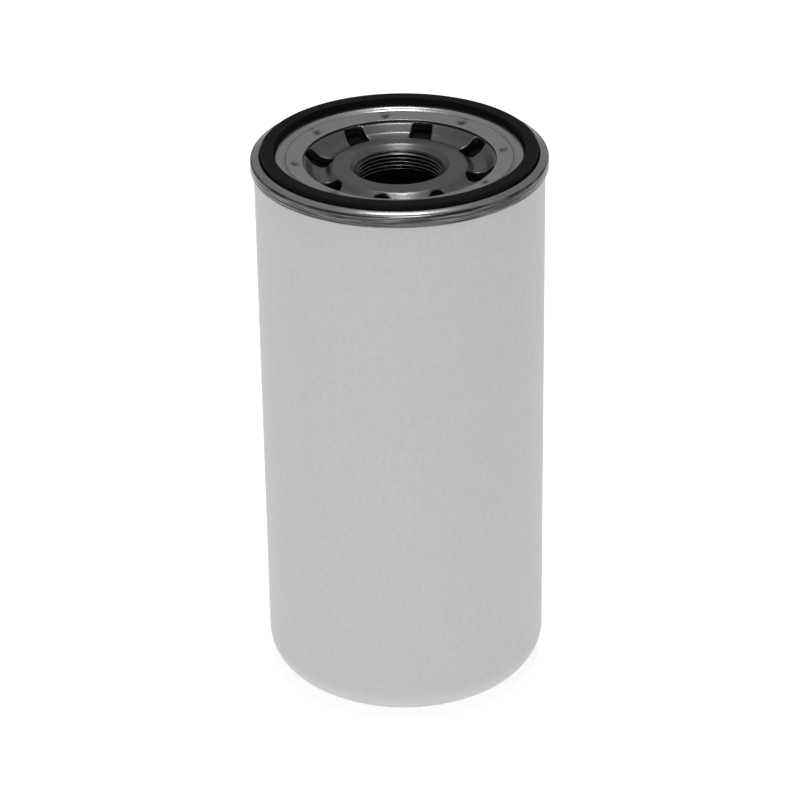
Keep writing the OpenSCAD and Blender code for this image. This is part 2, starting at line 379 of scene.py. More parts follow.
def mix_colour(tree, factor, a, b):
    """Colour a where factor is 0, b where it is 1. A Mix node's colours are its sockets 6 and 7, and its output 2."""
    return add(tree, "ShaderNodeMix", {0: factor, 6: a, 7: b}, data_type="RGBA").outputs[2]


def rgba(colour, gain=1.0):
    """The colour times gain, with no channel over 1, and full opacity."""
    return (*[min(float(c) * gain, 1.0) for c in colour], 1.0)


def group(name, inputs, outputs):
    """An empty node group with its sockets; returns it with its input and output nodes."""
    tree = bpy.data.node_groups.new(name, "ShaderNodeTree")
    for label, kind, default in inputs:
        socket = tree.interface.new_socket(label, in_out="INPUT", socket_type=kind)
        if default is not None:
            socket.default_value = default
    for label, kind in outputs:
        tree.interface.new_socket(label, in_out="OUTPUT", socket_type=kind)
    return tree, tree.nodes.new("NodeGroupInput"), tree.nodes.new("NodeGroupOutput")


def use(tree, name, **inputs):
    """Puts the named group into a tree and returns its outputs."""
    made = tree.nodes.new("ShaderNodeGroup")
    made.node_tree = bpy.data.node_groups[name]
    feed(tree, made, **inputs)
    return made.outputs


def build_streaks():
    """Fine lines that run round the Z axis, as rolling and spinning leave them on sheet steel."""
    tree, given, result = group(
        "Turned streaks",
        [("Lines per metre", "NodeSocketFloat", 900.0), ("Bands", "NodeSocketFloat", 3.0),
         ("Depth", "NodeSocketFloat", 0.15)],
        [("Value", "NodeSocketFloat"), ("Normal", "NodeSocketVector")])
    xyz = add(tree, "ShaderNodeSeparateXYZ", {0: own_place(tree)}).outputs
    radius = calc(tree, "SQRT", calc(tree, "ADD", calc(tree, "MULTIPLY", xyz[0], xyz[0]),
                                     calc(tree, "MULTIPLY", xyz[1], xyz[1])))
    safe = calc(tree, "MAXIMUM", radius, 1e-5)
    across = calc(tree, "MULTIPLY", calc(tree, "ADD", radius, xyz[2]), given.outputs["Lines per metre"])
    round_x = calc(tree, "MULTIPLY", calc(tree, "DIVIDE", xyz[0], safe), given.outputs["Bands"])
    round_y = calc(tree, "MULTIPLY", calc(tree, "DIVIDE", xyz[1], safe), given.outputs["Bands"])
    at = add(tree, "ShaderNodeCombineXYZ", {0: round_x, 1: round_y, 2: across}).outputs[0]
    value = ramp(tree, noise(tree, at, Scale=1.0, Detail=3.0, Roughness=0.6), 0.3, 0.7)
    bump = add(tree, "ShaderNodeBump", {"Height": value, "Strength": given.outputs["Depth"], "Distance": 0.0001})
    feed(tree, result, Value=value, Normal=bump.outputs[0])


def build_grain():
    """Fine even grain: two sizes of noise added, as a value and as a bump."""
    tree, given, result = group(
        "Fine grain",
        [("Scale", "NodeSocketFloat", 900.0), ("Depth", "NodeSocketFloat", 0.2), ("Normal", "NodeSocketVector", None)],
        [("Value", "NodeSocketFloat"), ("Normal", "NodeSocketVector")])
    where, scale = own_place(tree), given.outputs["Scale"]
    coarse = noise(tree, where, Scale=scale, Detail=3.0)
    fine = noise(tree, where, Scale=calc(tree, "MULTIPLY", scale, 3.7), Detail=2.0)
    value = calc(tree, "ADD", calc(tree, "MULTIPLY", coarse, 0.65), calc(tree, "MULTIPLY", fine, 0.35))
    bump = add(tree, "ShaderNodeBump", {"Height": value, "Strength": given.outputs["Depth"],
                                        "Distance": 0.0002, "Normal": given.outputs["Normal"]})
    feed(tree, result, Value=value, Normal=bump.outputs[0])


def build_wear():
    """Mask that is 1 where a surface sticks out and its finish has rubbed away, broken up by noise."""
    tree, given, result = group(
        "Edge wear",
        [("Amount", "NodeSocketFloat", 0.5), ("Scale", "NodeSocketFloat", 300.0)],
        [("Mask", "NodeSocketFloat")])
    broken = noise(tree, own_place(tree), Scale=given.outputs["Scale"], Detail=4.0)
    edge = add(tree, "ShaderNodeAttribute", attribute_name="edge").outputs["Fac"]
    lifted = calc(tree, "ADD", edge, calc(tree, "MULTIPLY", calc(tree, "SUBTRACT", broken, 0.5), 0.5))
    feed(tree, result, Mask=calc(tree, "MULTIPLY", ramp(tree, lifted, 0.12, 0.5), given.outputs["Amount"], clamp=True))


def build_smudges():
    """Broad soft patches, as handling and oil leave them: large noise pushed towards two tones."""
    tree, given, result = group(
        "Smudges",
        [("Scale", "NodeSocketFloat", 25.0), ("Contrast", "NodeSocketFloat", 0.5)],
        [("Value", "NodeSocketFloat")])
    soft = noise(tree, own_place(tree), Scale=given.outputs["Scale"], Detail=5.0, Roughness=0.65, Distortion=0.4)
    low = calc(tree, "SUBTRACT", 0.5, calc(tree, "MULTIPLY", given.outputs["Contrast"], 0.3))
    high = calc(tree, "SUBTRACT", 1.0, low)
    feed(tree, result, Value=add(tree, "ShaderNodeMapRange", {
        "Value": soft, "From Min": low, "From Max": high}).outputs[0])


def material(name):
    """A new material whose tree is a Principled shader and an output; returns its tree and that shader."""
    made = bpy.data.materials.new(name)
    made.use_nodes = True
    tree = made.node_tree
    tree.nodes.clear()
    shader = tree.nodes.new("ShaderNodeBsdfPrincipled")
    output = tree.nodes.new("ShaderNodeOutputMaterial")
    tree.links.new(shader.outputs[0], output.inputs[0])
    return tree, shader


def steel(name, colour, rough, lines, depth, grain=1200.0, worn=0.3, dirt=0.25, spread=0.12):
    """Bare or plated sheet steel: turned streaks, fine grain, darker smudges, brighter rubbed edges, and finely lined
    darkening where the piece's darkening attribute asks for it: burnt stains and painted shade."""
    tree, shader = material(name)
    streak = use(tree, "Turned streaks", Lines_per_metre=lines, Bands=5.0, Depth=depth)
    grains = use(tree, "Fine grain", Scale=grain, Depth=0.1, Normal=streak["Normal"])
    patch = use(tree, "Smudges", Scale=38.0, Contrast=0.7)["Value"]
    wear = use(tree, "Edge wear", Amount=worn, Scale=500.0)["Mask"]
    tone = mix_colour(tree, calc(tree, "MULTIPLY", patch, dirt), rgba(colour), rgba(colour, 0.62))
    tone = mix_colour(tree, calc(tree, "MULTIPLY", streak["Value"], 0.22), tone, rgba(colour, 0.8))
    tone = mix_colour(tree, wear, tone, rgba(colour, 1.45))
    # Darkening attribute: burnt stains and painted shade, mixed towards a dark copy of the steel's colour
    burn_and_painted_shade = add(tree, "ShaderNodeAttribute", attribute_name="burn_and_painted_shade").outputs["Fac"]
    fine_lines = use(tree, "Turned streaks", Lines_per_metre=3400.0, Bands=3.0, Depth=0.0)["Value"]
    burn_and_shade_mask = calc(tree, "MULTIPLY", burn_and_painted_shade, calc(tree, "ADD", fine_lines, 0.38), clamp=True)
    tone = mix_colour(tree, burn_and_shade_mask, tone, rgba(colour, 0.12))
    uneven = calc(tree, "ADD", calc(tree, "MULTIPLY", streak["Value"], spread),
                  calc(tree, "MULTIPLY", patch, spread))
    uneven = calc(tree, "ADD", uneven, calc(tree, "MULTIPLY", grains["Value"], spread * 0.5))
    feed(tree, shader, Base_Color=tone, Metallic=1.0, Roughness=calc(tree, "ADD", uneven, rough - spread),
         Normal=grains["Normal"])


def rubber(name, colour, rough=0.52, grain=2500.0, gloss=0.05):
    """Moulded rubber: fine matt grain, paler scuffed edges and a faint bloom in patches."""
    tree, shader = material(name)
    grains = use(tree, "Fine grain", Scale=grain, Depth=0.25)
    patch = use(tree, "Smudges", Scale=60.0, Contrast=0.8)["Value"]
    wear = use(tree, "Edge wear", Amount=0.5, Scale=700.0)["Mask"]
    tone = mix_colour(tree, calc(tree, "MULTIPLY", patch, 0.5), rgba(colour), rgba(colour, 1.7))
    tone = mix_colour(tree, wear, tone, rgba(colour, 2.6))
    rough_here = calc(tree, "ADD", calc(tree, "MULTIPLY", patch, 0.12), rough)
    feed(tree, shader, Base_Color=tone, Roughness=rough_here, Normal=grains["Normal"])
    shader.inputs["Specular IOR Level"].default_value = gloss


def can_paint():
    """Satin paint on drawn steel: very fine mottle in tone and gloss, faint orange peel."""
    tree, shader = material("Can paint")
    peel = use(tree, "Fine grain", Scale=420.0, Depth=0.16)
    mottle = use(tree, "Fine grain", Scale=520.0, Depth=0.0, Normal=peel["Normal"])
    patch = use(tree, "Smudges", Scale=14.0, Contrast=0.35)["Value"]
    wear = use(tree, "Edge wear", Amount=0.35, Scale=420.0)["Mask"]
    grey = colours().can
    tone = mix_colour(tree, ramp(tree, mottle["Value"], 0.36, 0.64), rgba(grey, 0.965), rgba(grey, 1.03))
    tone = mix_colour(tree, calc(tree, "MULTIPLY", patch, 0.2), tone, rgba(grey, 0.97))
    tone = mix_colour(tree, wear, tone, rgba(grey, 1.18))
    rough_here = calc(tree, "ADD", calc(tree, "MULTIPLY", peel["Value"], 0.16), 0.36)
    feed(tree, shader, Base_Color=tone, Roughness=rough_here, Normal=peel["Normal"])
    shader.inputs["Specular IOR Level"].default_value = 0.5


def soft_solid(name, colour, rough, scale, depth, vary=0.25):
    """Cured adhesive, sealant or hot-melt: lumpy at two scales, with a slightly uneven tone."""
    tree, shader = material(name)
    grains = use(tree, "Fine grain", Scale=scale, Depth=depth)
    patch = use(tree, "Smudges", Scale=90.0, Contrast=0.6)["Value"]
    tone = mix_colour(tree, calc(tree, "MULTIPLY", patch, vary), rgba(colour), rgba(colour, 0.6))
    tone = mix_colour(tree, calc(tree, "MULTIPLY", grains["Value"], 0.3), tone, rgba(colour, 1.3))
    rough_here = calc(tree, "ADD", calc(tree, "MULTIPLY", patch, 0.15), rough)
    feed(tree, shader, Base_Color=tone, Roughness=rough_here, Normal=grains["Normal"])


def filter_paper():
    """Crêped, resin-treated paper: fibres along the fold, mottled tan, paler on the folds."""
    tree, shader = material("Filter paper")
    along = add(tree, "ShaderNodeMapping", {"Vector": own_place(tree), "Scale": (1.0, 1.0, 0.25)}).outputs[0]
    fibres = noise(tree, along, Scale=2600.0, Detail=4.0)
    grains = use(tree, "Fine grain", Scale=1500.0, Depth=0.5)
    patch = use(tree, "Smudges", Scale=45.0, Contrast=0.6)["Value"]
    wear = use(tree, "Edge wear", Amount=0.6, Scale=300.0)["Mask"]
    tan = colours().paper
    tone = mix_colour(tree, ramp(tree, fibres, 0.35, 0.65), rgba(tan, 0.82), rgba(tan, 1.12))
    tone = mix_colour(tree, calc(tree, "MULTIPLY", patch, 0.3), tone, rgba(tan, 0.7))
    tone = mix_colour(tree, wear, tone, rgba(tan, 1.3))
    feed(tree, shader, Base_Color=tone, Roughness=ramp(tree, fibres, 0.2, 0.8, 0.7, 0.95), Normal=grains["Normal"])


def build_materials():
    for build_group in (build_streaks, build_grain, build_wear, build_smudges):
        build_group()
    can_paint()
    filter_paper()
    steel("Lid steel", colours().lid, 0.24, 700.0, 0.1, worn=0.3, dirt=0.12, spread=0.08)
    steel("Plate steel", colours().plate, 0.31, 450.0, 0.1, grain=900.0, worn=0.6, dirt=0.35, spread=0.08)
    steel("Cap steel", colours().caps, 0.38, 500.0, 0.1, dirt=0.3)
    steel("Plated steel", (0.58, 0.58, 0.56), 0.36, 600.0, 0.1, dirt=0.25)
    steel("Phosphated steel", (0.05, 0.05, 0.052), 0.5, 600.0, 0.1, dirt=0.25)
    steel("Spring wire", (0.36, 0.36, 0.37), 0.34, 1500.0, 0.1, dirt=0.4)
    rubber("Gasket rubber", colours().rubber)
    rubber("Valve rubber", colours().rubber, rough=0.55, grain=1800.0, gloss=0.04)
    soft_solid("Sealing compound", (0.03, 0.03, 0.035), 0.5, 700.0, 0.6)
    soft_solid("Potting", (0.33, 0.085, 0.055), 0.42, 350.0, 0.5)
    soft_solid("Glue bead", (0.74, 0.66, 0.42), 0.35, 500.0, 0.3)


# ---- Housing ----


def can_outline():
    """Drawn can: raised foot panel, round foot bend, straight wall and the hook inside the seam."""
    bend_r = 14.25
    hook = np.array([CAN_R + 0.23, TOP - 4.7])
    outer = path(
        [[0, 2]], arc((34, 1), 1, 90, 30, 6), arc((37, 1), 1, 210, 270, 6),
        arc((CAN_R - bend_r, bend_r), bend_r, -90, 0, 40),
        arc(hook, hook[0] - CAN_R, 180, 0, 12), [[hook[0] * 2 - CAN_R, TOP - 6.6]])
    return anticlockwise(sheet(spaced(outer, 4), -CAN_T))


def lid_outline():
    """Lid from its opening outwards: sloped flat, crease, round hump, gasket groove and rolled seam."""
    top = path(
        [[38.55, -4.98]], arc((38.68, -4.97), 0.13, 160, 98, 3),
        [[45.0, -3.77], [45.2, -3.88], [45.4, -3.78], [45.62, -3.54]],
        arc((47.6, -4.35), 1.6, 130, 90, 6), arc((48.9, -3.75), 1.0, 86, 0, 8),
        arc((50.4, -7.0), 0.5, 180, 270, 5), arc((54.7, -7.0), 0.5, 270, 360, 5),
        arc((56.05, -2.9), 0.85, 180, 78, 10))
    top[:, 0] = np.minimum(top[:, 0], 57)
    out = SEAM_R
    seam = path(
        [[56.6, -2.22], [57.1, -2.45], [57.9, -2.92]], arc((out - 1.05, -4.05), 1.05, 64, 4, 9),
        [[out - 0.1, -4.35], [out - 0.14, -4.6], [out - 0.02, -4.95], [out, -5.6], [out - 0.01, -6.6]],
        arc((out - 0.67, -7.23), 0.67, 0, -180, 14), [[out - 1.34, -5]])
    whole = path(top, seam)
    thick = np.where(np.arange(len(whole)) < len(top), LID_T, 0.4)
    return anticlockwise(sheet(whole, thick[:, None]) + [0, TOP])


def weld_relief(depth):
    """Weld marks: a round dimple with a faint raised halo, at eight places on the lid's sloped flat. The rolled
    seam's rim also gets a slight ripple."""

    def relief(r, z, a):
        turn = (a + 0 * r) % SECTOR - SECTOR / 2
        away = np.hypot(WELD_R * turn, r - WELD_R)
        flat = (np.abs(r - WELD_R) < 3.6) & (z > TOP - 6.3)
        mark = -depth * np.exp(-((away / 0.95) ** 2)) + 0.1 * np.exp(-(((away - 2.1) / 0.55) ** 2))
        ripple = 0.012 * np.cos(9 * a + 0.4 * z) + 0.008 * np.cos(23 * a + 1.3)
        rim = (r > 58.4) & (z < TOP - 3.6)
        return np.where(rim, ripple - 0.02, 0.0), np.where(flat, mark, 0.0)

    return relief


def fade(value, low, high):
    """Smooth step from 0 at low to 1 at high; high may be the smaller."""
    t = np.clip((value - low) / (high - low), 0, 1)
    return t * t * (3 - 2 * t)


def lid_burn_and_painted_shade(r, z, a):
    """Burnt spots in the weld marks, and painted shade: a dark line along the crease, the rolled seam's side darkened
    with a darker line under its shoulder, and the seam's top darkened a little outward from the gasket groove.
    """
    turn = a % SECTOR - SECTOR / 2
    away = np.hypot(WELD_R * turn * 0.8, r - WELD_R)
    patchy = 0.75 + 0.35 * np.sin(5.1 * r + 300 * turn) * np.sin(240 * turn - 3.3 * r)
    spot = 1.9 * patchy * np.exp(-((away / 1.3) ** 2)) * (z > -6.3)
    # Painted shade: a dark line along the crease
    crease = 0.5 * np.exp(-(((r - 45.25) / 0.22) ** 2)) * (z > -6.3)
    # Painted shade: the rolled seam's side darkened, most in a line under its shoulder
    seam = fade(r, 58.3, 58.9) * (0.78 + 0.25 * np.exp(-(((z + 4.6) / 0.25) ** 2)))
    # Painted shade: the seam's top darkened a little outward from the gasket groove
    return spot + crease + seam + 0.25 * fade(r, 55.6, 56.2)


def plate_painted_shade(r, z, a):
    """Painted shade: darker in the thread's grooves, and a painted shadow under the lid's edge."""
    # Painted shade deep in the thread's grooves
    groove = fade(r, 16.66, 16.95) * fade(r, FUNNEL_R, 17.6) * (z < THREAD_TOP - 0.05)
    # Painted shadow on the plate under the lid's edge
    shade = 0.5 * fade(r, 38.0, 38.5)
    return 0.95 * groove + shade


def gasket_outline():
    """Moulded ring: flat top with rounded edges and a fine parting line round its outside."""
    inner, outer, high = 49.95, 54.95, 7.5
    return anticlockwise(path(
        arc((inner + 0.5, -0.5), 0.5, 180, 90, 7), [[52.4, 0.0]],
        arc((outer - 0.5, -0.5), 0.5, 90, 0, 7), [[outer, -1.55], [outer + 0.07, -1.62], [outer, -1.7]],
        arc((outer - 0.6, 0.6 - high), 0.6, 0, -90, 5), arc((inner + 0.6, 0.6 - high), 0.6, -90, -180, 5)
    ) + [0, TOP])


def bead_outline():
    """Sealing compound squeezed between lid and can: a round-ended bead."""
    return anticlockwise(path(
        arc((56.62, TOP - 4.0), 0.55, 180, 0, 8), arc((56.62, TOP - 7.8), 0.55, 0, -180, 8)))


# The plate's radii where the thread's chamfer meets the funnel, at the hub's shoulder, outside the slots and at its
# edge, and the height at which the thread starts; heights are from the gasket's face
FUNNEL_R, HUB_R, FLANGE_R, PLATE_R = 17.95, 25.0, 39.8, 48.6
THREAD_TOP = -8.9
PLATE_TOP = path(
    [[16.9, -9.85], [FUNNEL_R, THREAD_TOP]], arc((20.9, -9.2), 2.2, 132, 84, 9), arc((26.45, -8.38), 0.8, 84, 48, 6),
    arc((30.1, -8.3), 1.6, 228, 264, 6), arc((31.4, -7.9), 2.0, 270, 290, 4), arc((33.38, -7.18), 2.0, 290, 316, 8),
    arc((38.1, -7.05), 1.3, 136, 100, 6), [[38.5, -5.66], [PLATE_R, -3.96]])
PLATE_UNDER = path(
    [[20.6, -11.6]], arc((21.8, -11.6), 1.2, 180, 90, 6), arc((26.0, -12.1), 1.5, 90, 40, 4),
    [[29.0, -12.75], [32.6, -12.75], [34.9, -12.2], [37.0, -10.6], [38.9, -8.8], [39.5, -8.49], [PLATE_R, -6.9]])


def plate_top(r):
    """Height of the plate's top face at radius r: funnel, hub, valley, slope and flange."""
    return np.interp(r, *PLATE_TOP.T)


def plate_under(r):
    """Height of the plate's underside at radius r."""
    return np.interp(r, *PLATE_UNDER.T)


def slot_loops():
    """Matching closed loops, as (radius, angle), round a slot's edge and round its eighth of the plate."""
    half_w = sizes().slot_half_width
    end_w, corner, centre, end = half_w - 0.4, 2.0, 31.8, 38.42
    side_r = np.array([32.1, 32.6, 33.3, 34.06, 34.25, 34.44, 34.63, 34.82, 35.3, 35.8])
    grow = half_w + (side_r - centre) / (end - corner - centre) * (end_w - half_w)
    nose = arc((centre, 0), half_w, 180, 90, 30)
    side = np.stack([side_r, grow], 1)
    tail = np.concatenate([arc((end - corner, end_w - corner), corner, 90, 0, 13),
                           np.stack([np.full(13, end), np.linspace(end_w - corner, 0, 14)[1:]], 1)])
    edge = np.concatenate([nose, side, tail])
    rim = np.concatenate([
        np.stack([np.full(BORDER_STEPS + 1, HUB_R), np.linspace(0, SECTOR / 2, BORDER_STEPS + 1)], 1),
        np.stack([np.linspace(HUB_R, centre, 13)[1:], np.full(12, SECTOR / 2)], 1),
        np.stack([side_r, np.full(len(side_r), SECTOR / 2)], 1),
        np.stack([[36.4, 36.8, 37.16, 37.34, 37.52, 37.7, 37.87, 38.5, FLANGE_R], np.full(9, SECTOR / 2)], 1),
        np.stack([np.full(BORDER_STEPS, FLANGE_R), np.linspace(SECTOR / 2, 0, BORDER_STEPS + 1)[1:]], 1)])
    both = np.concatenate([edge, edge[-2:0:-1] * [1, -1]])
    around = np.concatenate([rim, rim[-2:0:-1] * [1, -1]])
    return both, around


def plate_sector(turn):
    """One eighth of the plate: grid lines go from the sector's border over the top to the slot's rolled edge,
    down the slot's wall, and back to the border underneath. Height is the plate's profile at each radius."""
    edge, rim = slot_loops()
    ahead, behind = np.roll(edge, -1, 0), np.roll(edge, 1, 0)
    along = ahead - behind
    out = np.stack([along[:, 1], -along[:, 0]], 1) / np.hypot(*along.T)[:, None]
    out *= np.sign((out * (edge - [34, 0])).sum(1).mean())

    def polar(p):
        return np.stack([np.hypot(*p.T), np.arctan2(p[:, 1], p[:, 0])], 1)

    rows, lip = [], 0.42
    for share in (1, 0.86, 0.72, 0.58, 0.45, 0.33, 0.22, 0.13, 0.06, 0.02):
        p = polar(edge + out * lip) * (1 - share) + rim * share
        rows.append((p, plate_top(p[:, 0])))
    for a in (20, 45, 70, 90):
        p = polar(edge + out * lip * (1 - math.sin(math.radians(a))))
        rows.append((p, plate_top(p[:, 0]) - lip * (1 - math.cos(math.radians(a)))))
    top_z, under_z = rows[-1][1], plate_under(polar(edge)[:, 0])
    for share in (0.25, 0.5, 0.75, 0.93):
        rows.append((polar(edge), top_z * (1 - share) + under_z * share))
    for share in (0.03, 0.15, 0.35, 0.6, 0.8, 1):
        p = polar(edge + out * 0.2) * (1 - share) + rim * share
        rows.append((p, plate_under(p[:, 0])))
    return np.stack([cylindrical(p[:, 0], p[:, 1] + turn, z + TOP) for p, z in rows]), False, True


def thread_wall(columns):
    """The threaded bore: radius follows a 60 degree thread whose phase climbs one pitch a turn, and a chamfer at
    each end cuts the crests away."""
    z = np.linspace(THREAD_TOP, COLLAR_END, 106)[None, :]
    a = np.arange(columns)[:, None] * TAU / columns
    phase = np.abs((z / sizes().thread_pitch - a / TAU + 0.5) % 1 - 0.5) * 2
    climb = np.clip((phase - 0.16) / (0.86 - 0.16), 0, 1)
    thread = BORE_R + sizes().thread_depth * climb
    mouth = FUNNEL_R + (z - THREAD_TOP) * 1.105
    foot = 17.3 + (COLLAR_END - z) * 1.1
    r = np.maximum(np.maximum(thread, mouth), foot)
    return r, a, z + 0 * r


def plate_hub(columns):
    """Funnel, threaded bore and collar of the plate, turned as one strip from the hub's top to its underside."""
    on_hub = (PLATE_TOP[:, 0] >= FUNNEL_R) & (PLATE_TOP[:, 0] < HUB_R)
    top = spaced(path(PLATE_TOP[on_hub], [[HUB_R, plate_top(HUB_R)]]), 0.6)[::-1]
    under = spaced(path(PLATE_UNDER[PLATE_UNDER[:, 0] < HUB_R], [[HUB_R, plate_under(HUB_R)]]), 1.2)
    step = COLLAR_END + 0.8
    collar = path([[17.6, COLLAR_END], [17.75, COLLAR_END + 0.15], [17.75, step]],
                  arc((20.0, step + 0.6), 0.6, -90, 0, 5), [[20.6, -14], [20.6, -11.7]])
    wall_r, a, wall_z = thread_wall(columns)

    def strip(p):
        return np.broadcast_to(p[:, 0], (columns, len(p))), np.broadcast_to(p[:, 1], (columns, len(p)))

    parts = [strip(top[:-1]), (wall_r, wall_z), strip(collar), strip(under)]
    r, z = (np.concatenate(part, 1) for part in zip(*parts))
    return cylindrical(r, a, z + TOP), True, False


def plate_flange(columns):
    """Flat rim of the plate outside the slots, from its top face round the edge to its underside."""
    top, under = plate_top(PLATE_R), plate_under(PLATE_R)
    p = path([[FLANGE_R, plate_top(FLANGE_R)], [44, plate_top(44)]],
             [[PLATE_R - 0.3, top - 0.05], [PLATE_R, top - 0.35], [PLATE_R, under + 0.35]],
             [[PLATE_R - 0.3, under + 0.05], [44, plate_under(44)], [FLANGE_R, plate_under(FLANGE_R)]])
    return turned(p + [0, TOP], columns)


def spring_cup_outline():
    """Locating washer on the can's floor: flat ring with a short upturned collar."""
    low = float(low_mm("spring_seat")[2])
    face = path([[24, low + SHEET_T], [23, low + SHEET_T]], arc((17.1, low + 1.6), 0.9, 270, 180, 6),
                [[16.2, low + 4.7]])
    return anticlockwise(sheet(face, -SHEET_T))


# ---- Valves and element ----


def valve_outline():
    """Anti-drainback valve: thick collar, thin skirt with one soft fold, and a round lip."""
    return anticlockwise(path(
        arc((21.3, -12.0), 0.4, 180, 90, 4), [[22.6, -11.6]], arc((23.4, -12.4), 0.8, 95, 10, 4),
        arc((24.9, -12.6), 0.6, 190, 270, 4), [[26, -13.2]], arc((29, -13.75), 0.8, 140, 40, 8), [[32, -13.2]],
        arc((33.4, -12.2), 1.0, 270, 300, 4), [[40.2, -9.75]], arc((42.6, -9.2), 1, 135, -35, 12),
        [[41.6, -10.5]], arc((34.0, -13.45), 0.9, -60, -90, 4), [[32, -14.35]],
        arc((29, -15.0), 1.0, 40, 140, 8), [[26, -14.35]], arc((24.0, -14.1), 0.6, -90, -180, 3)[::-1],
        [[23.4, -14.7]], arc((21.3, -14.3), 0.4, -90, -180, 4)) + [0, TOP])


def grommet_outline():
    """Grooved rubber ring that grips the top cap's neck."""
    return anticlockwise(path(
        arc((18.4, -17.3), 0.4, 180, 90, 4), [[20, -16.9]], arc((22.5, -17.4), 0.5, 90, 0, 4),
        arc((22.7, -18.7), 0.3, 0, -90, 3), [[20.62, -19.0], [20.62, -19.7]],
        arc((22.1, -20.0), 0.3, 90, 0, 3), arc((21.9, -21.0), 0.5, 0, -90, 4), arc((18.4, -21.1), 0.4, -90, -180, 4)
    ) + [0, TOP])


def top_cap_outline():
    """Top end cap: rolled neck, flat disc and downturned rim."""
    disc, neck, edge = high_mm("top_potting")[2] + SHEET_T, TOP - 19, outer_r("top_end_cap")
    face = path([[20.62, neck]], arc((24.6, neck - 0.9), 0.9, 90, 0, 7), arc((26.2, disc + 0.7), 0.7, 180, 270, 6),
                arc((edge - 1, disc - 1), 1, 90, 0, 8), [[edge, disc - 6]])
    return anticlockwise(sheet(spaced(face, 1.2), SHEET_T))


def bottom_cap_outline():
    """Bottom end cap: upturned neck, flat disc and upturned rim."""
    low, edge, neck = float(low_mm("bottom_end_cap")[2]), outer_r("bottom_end_cap"), 14.3
    face = path([[neck, low + 5]], arc((neck + 0.35, low + SHEET_T + 0.35), 0.35, 180, 270, 4),
                arc((edge - 1.02, low + 1.02), 1.02 - SHEET_T, 270, 360, 8), [[edge - SHEET_T, low + 6]])
    return anticlockwise(sheet(spaced(face, 1.2), SHEET_T))


def pressed_ribs(middle_z, inner, outer, count, height):
    """Radial ribs pressed into a cap's disc: a rounded ridge in angle, faded at both ends in radius."""

    def relief(r, z, a):
        turn = (a + 0 * r) % (TAU / count) - TAU / count / 2
        ridge = np.exp(-((turn * r / 1.9) ** 4))
        ends = np.clip((r - inner) / 1.6, 0, 1) * np.clip((outer - r) / 1.6, 0, 1)
        on_disc = np.abs(z - middle_z) < 0.6
        ends = ends * ends * (3 - 2 * ends)
        return 0 * r, np.where(on_disc, height * ridge * ends, 0.0)

    return relief


def potting_patch(node, up):
    """Cured potting: a ring whose free face rises and falls a little where the pleats drew it up."""
    low, high = heights(node)
    edge = outer_r(node) - 0.05
    free, fixed = (high, low) if up else (low, high)
    line = path([[23.45, fixed], [23.45, free]], [[24.5, free], [49.5, free], [edge, free], [edge, fixed]])
    outline = anticlockwise(spaced(path(line, [[23.45, fixed]])[:-1], 1.5))
    pleats = sizes().pleats

    def relief(r, z, a):
        inside = (np.abs(z - free) < 0.01) & (r > 24) & (r < edge - 0.3)
        wave = 0.12 * np.cos(pleats * a) + 0.1 * np.cos(5 * a + r * 0.3)
        return 0 * r, np.where(inside, (wave - 0.25) * (1 if up else -1), 0.0)

    return spin(outline, 448, relief)


def pierced_cells(radius, wall, z0, z1, count, first_angle, hole, per_side):
    """A band of wall with one hole in each of count cells. Grid lines run from the cell's square border to the
    hole's edge on the outside, through the wall, and back to the border on the inside. hole is a loop of
    (arc length, height) offsets from the cell's middle, one for each border point."""
    half_w, half_h = TAU / count / 2 * radius, (z1 - z0) / 2
    s = np.linspace(-1, 1, per_side + 1)[:-1]
    one = np.ones(per_side)
    square = np.concatenate([np.stack([one, s], 1), np.stack([-s, one], 1), np.stack([-one, -s], 1),
                             np.stack([s, -one], 1)]) * [half_w, half_h]
    cut = hole(square)
    shares = (1, 0.75, 0.5, 0.3, 0.14, 0.05)
    inner = radius - wall
    rows = [(cut * (1 - k) + square * k, radius) for k in shares]
    rows += [(cut * 1.02, radius - 0.06), (cut, radius - 0.16), (cut, inner + 0.1)]
    rows += [(cut * (1 - k) + square * k, inner) for k in shares[::-1]]
    middle = (z0 + z1) / 2
    patches = []
    for k in range(count):
        turn = first_angle + TAU * k / count
        grid = np.stack([cylindrical(r, p[:, 0] / radius + turn, p[:, 1] + middle) for p, r in rows])
        patches.append((grid, False, True))
    return patches


def round_hole(hole_r):
    """Hole loop: the border points pulled onto a circle."""

    def loop(square):
        return square / np.hypot(*square.T)[:, None] * hole_r

    return loop


def window_hole(half_w, half_h):
    """Hole loop: the border scaled to the window's size, its corners rounded by a power curve."""

    def loop(square):
        unit = square / np.abs(square).max(0)
        length = (np.abs(unit) ** 6).sum(1) ** (1 / 6)
        return unit / length[:, None] * [half_w, half_h]

    return loop


def tube_patches():
    """Perforated centre tube: rows of staggered cells between two plain ends."""
    low, high = heights("center_tube")
    radius, wall, rows, around, per_side, margin = 23.4, 0.8, 11, 10, 10, 8
    step = (high - low - 2 * margin) / rows
    patches = []
    for row in range(rows):
        z0 = low + margin + step * row
        turn = math.radians(18) * (row % 2)
        patches += pierced_cells(radius, wall, z0, z0 + step, around, turn, round_hole(2.6), per_side)
    columns = around * per_side
    inner = radius - wall
    for z_end, z_cell in ((low, low + margin), (high, high - margin)):
        ends = path([[radius, z_cell], [radius, z_end], [inner, z_end], [inner, z_cell]])
        patches.append(turned(spaced(ends, 3), columns))
    return patches


